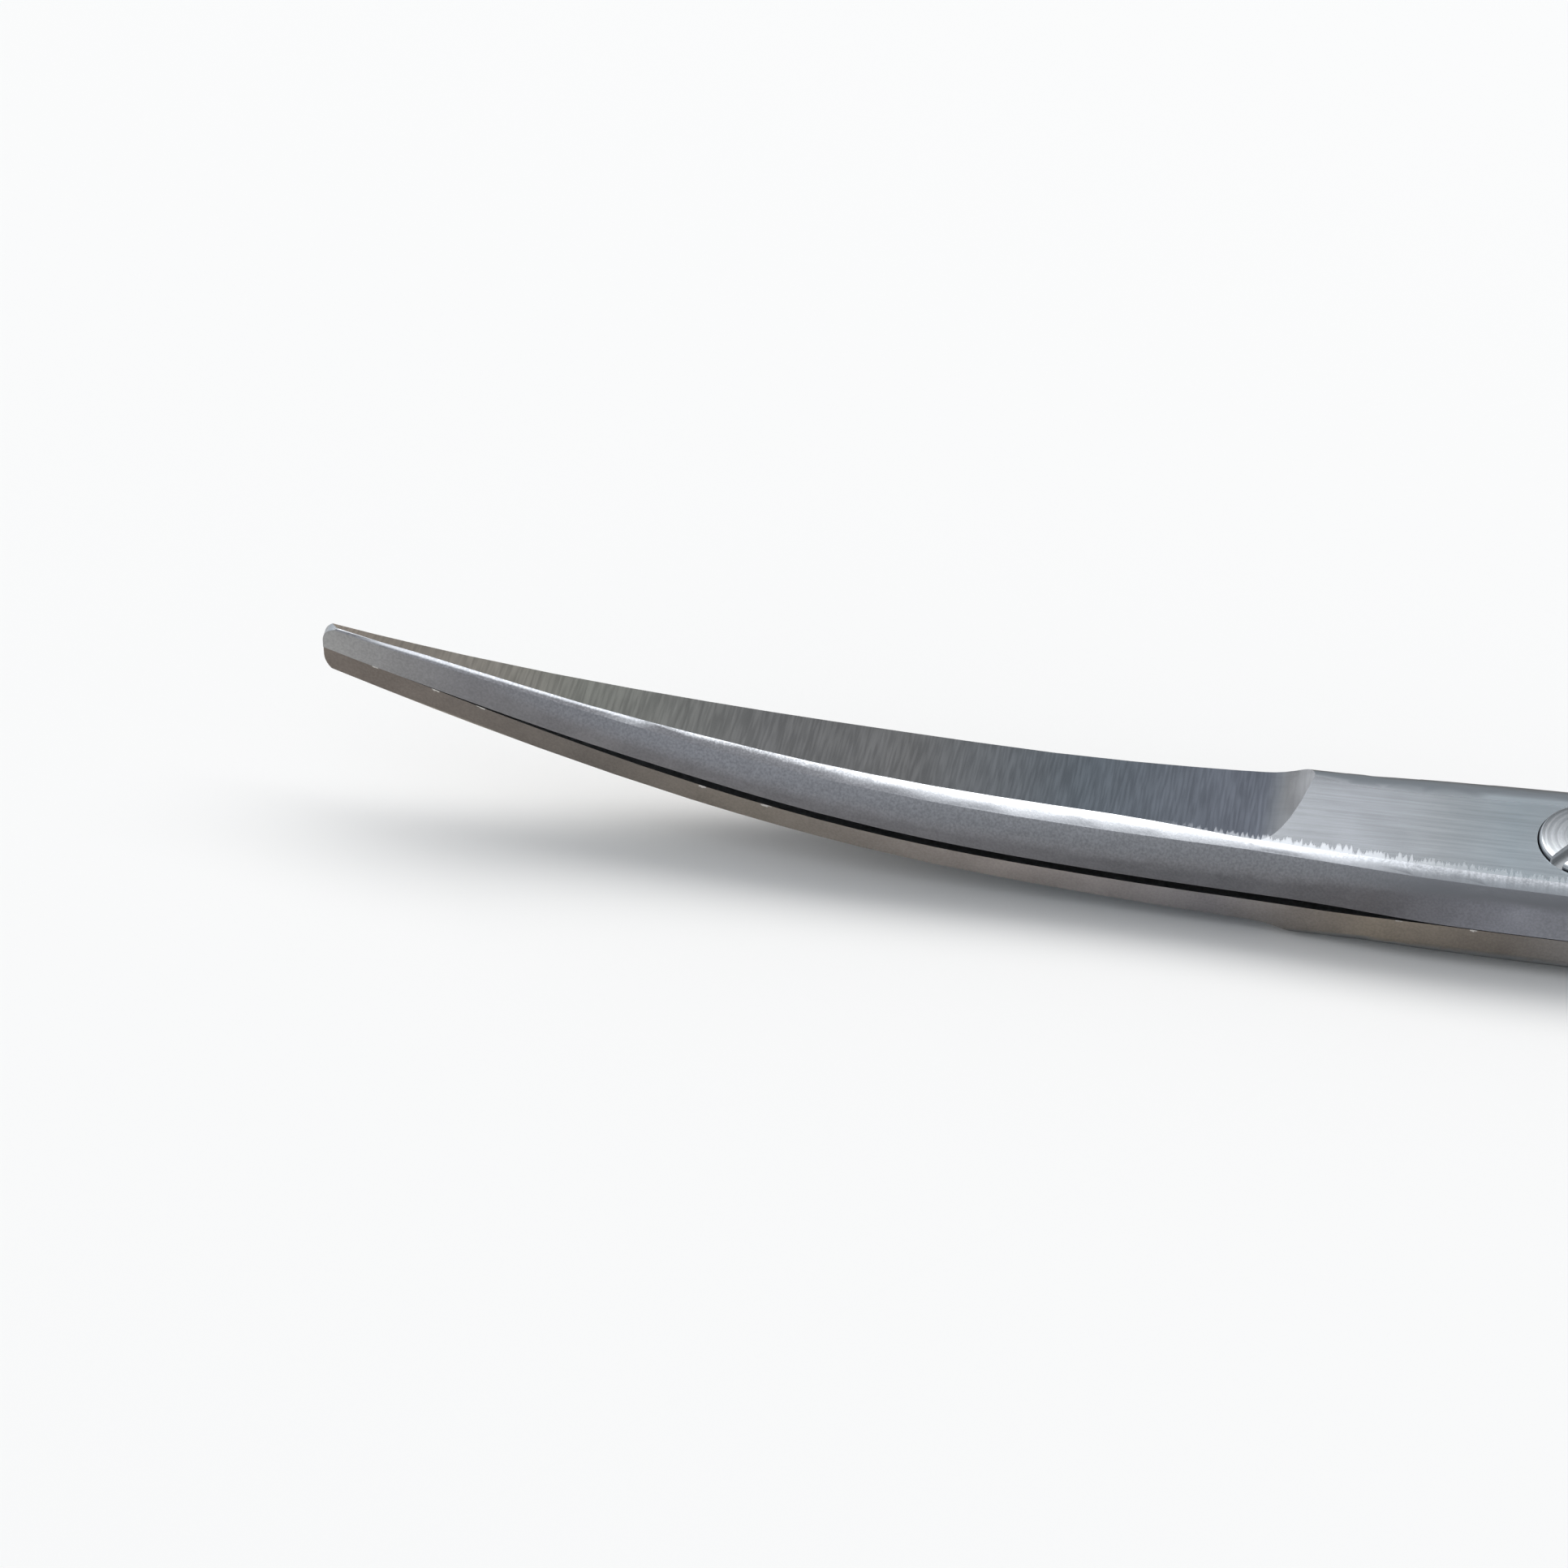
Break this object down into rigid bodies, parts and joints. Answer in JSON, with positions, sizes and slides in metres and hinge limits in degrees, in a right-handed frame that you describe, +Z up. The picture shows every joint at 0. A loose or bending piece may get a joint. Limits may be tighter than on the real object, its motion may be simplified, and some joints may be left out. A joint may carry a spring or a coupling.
{
  "type": "iris scissors",
  "caption": "Small surgical scissors with slender blades curved upwards, sharp tips, a slotted pivot screw and two finger rings, for fine cutting.",
  "frame": {"origin": "on the pivot screw's axis, at the flat underside of the joint, which rests on the table with the closed scissors", "axes": "+X from the pivot towards the finger rings, along the length; +Z up along the screw's axis, out of its head, the way the tips bend; +Y to the upper half's ring"},
  "size_m": [0.1152, 0.047, 0.0072],
  "materials": {
    "upper_half_steel": "satin, finely brushed",
    "lower_half_steel": "satin, finely brushed",
    "screw_steel": "polished"
  },
  "bodies": {
    "lower": {"lower_half": "lower_half_steel", "pivot_screw": "screw_steel"},
    "upper": {"upper_half": "upper_half_steel"}
  },
  "joints": [
    {"name": "pivot", "type": "hinge", "parent": "lower", "child": "upper", "pos_m": [0, 0, 0], "axis": [0, 0, 1], "range_deg": [0, 80]}
  ]
}
